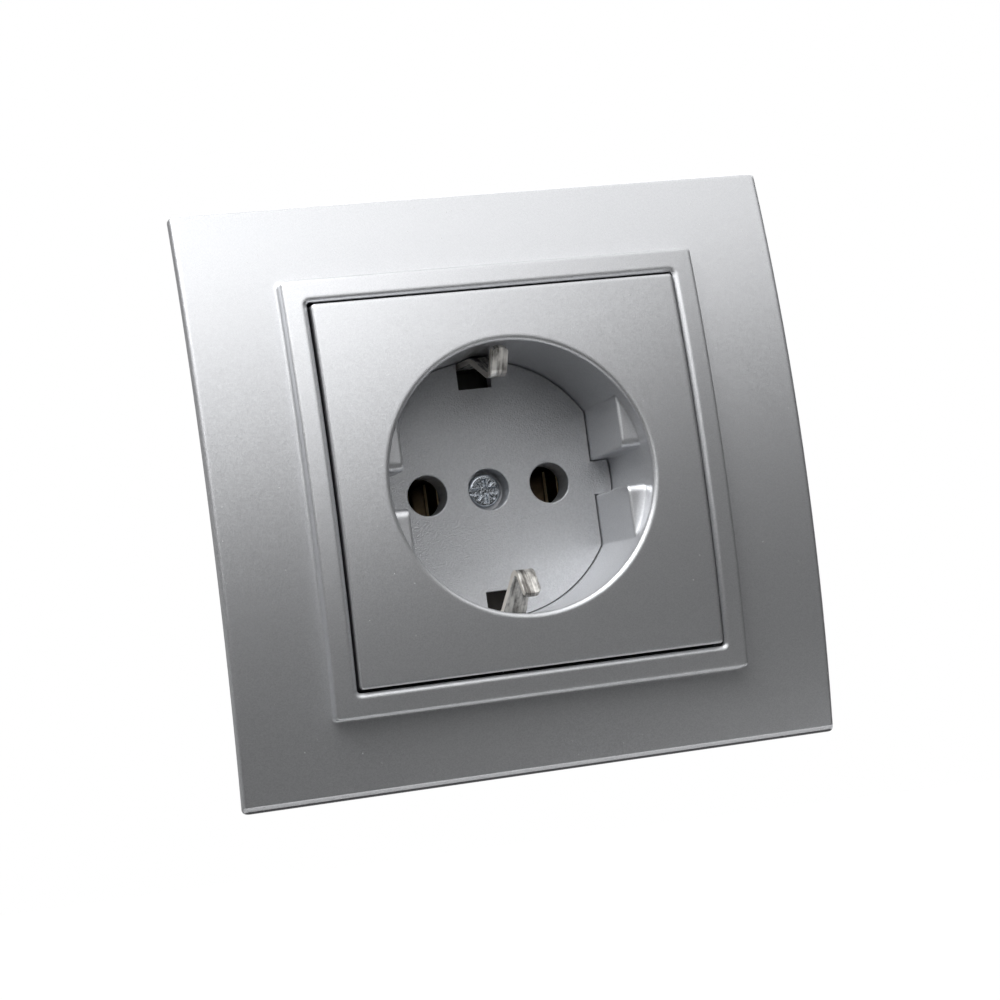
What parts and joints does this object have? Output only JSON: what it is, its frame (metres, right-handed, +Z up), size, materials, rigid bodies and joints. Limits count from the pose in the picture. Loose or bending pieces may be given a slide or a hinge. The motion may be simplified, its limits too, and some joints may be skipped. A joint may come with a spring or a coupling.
{
  "type": "earthed wall socket",
  "caption": "Flush-mounted earthed wall socket with an arched silver frame, a round plug well with side earthing clips, and a screw-terminal insert with spreading claws.",
  "frame": {"origin": "on the axis of the plug well, in the wall's plane, midway between the slots for the box screws", "axes": "+X to the right along the longest side of the frame, +Y into the wall, +Z up"},
  "size_m": [0.0896, 0.0408, 0.0844],
  "materials": {
    "silver_paint": "satin silver metallic paint on moulded plastic",
    "grained_silver": "silver paint on a fine spark-eroded grain",
    "zinc_steel": "bright zinc plating",
    "plate_steel": "galvanised sheet",
    "dark_plastic": "matt insulating moulding",
    "brass": "rolled brass sheet",
    "tinned_strip": "tin-plated spring strip, streaked along its length"
  },
  "bodies": {
    "socket": {"outer_frame": "silver_paint", "cover_plate": "silver_paint", "well_floor": "grained_silver", "cover_screw": "zinc_steel", "cover_nut": "zinc_steel", "earth_strap": "tinned_strip", "mounting_plate": "plate_steel", "socket_base": "dark_plastic", "base_rivets": "zinc_steel", "left_contact": "brass", "right_contact": "brass", "terminal_screws": "zinc_steel", "left_clamp_plate": "zinc_steel", "right_clamp_plate": "zinc_steel", "earth_clamp_plate": "zinc_steel", "claw_screws": "zinc_steel"},
    "left_claw": {"left_claw": "zinc_steel"},
    "right_claw": {"right_claw": "zinc_steel"}
  },
  "joints": [
    {"name": "left_claw_swing", "type": "hinge", "parent": "socket", "child": "left_claw", "pos_m": [-0.0243, 0.0216, 0], "axis": [0, 0, -1], "range_deg": [0, 25]},
    {"name": "right_claw_swing", "type": "hinge", "parent": "socket", "child": "right_claw", "pos_m": [0.0243, 0.0216, 0], "axis": [0, 0, 1], "range_deg": [0, 25]}
  ]
}
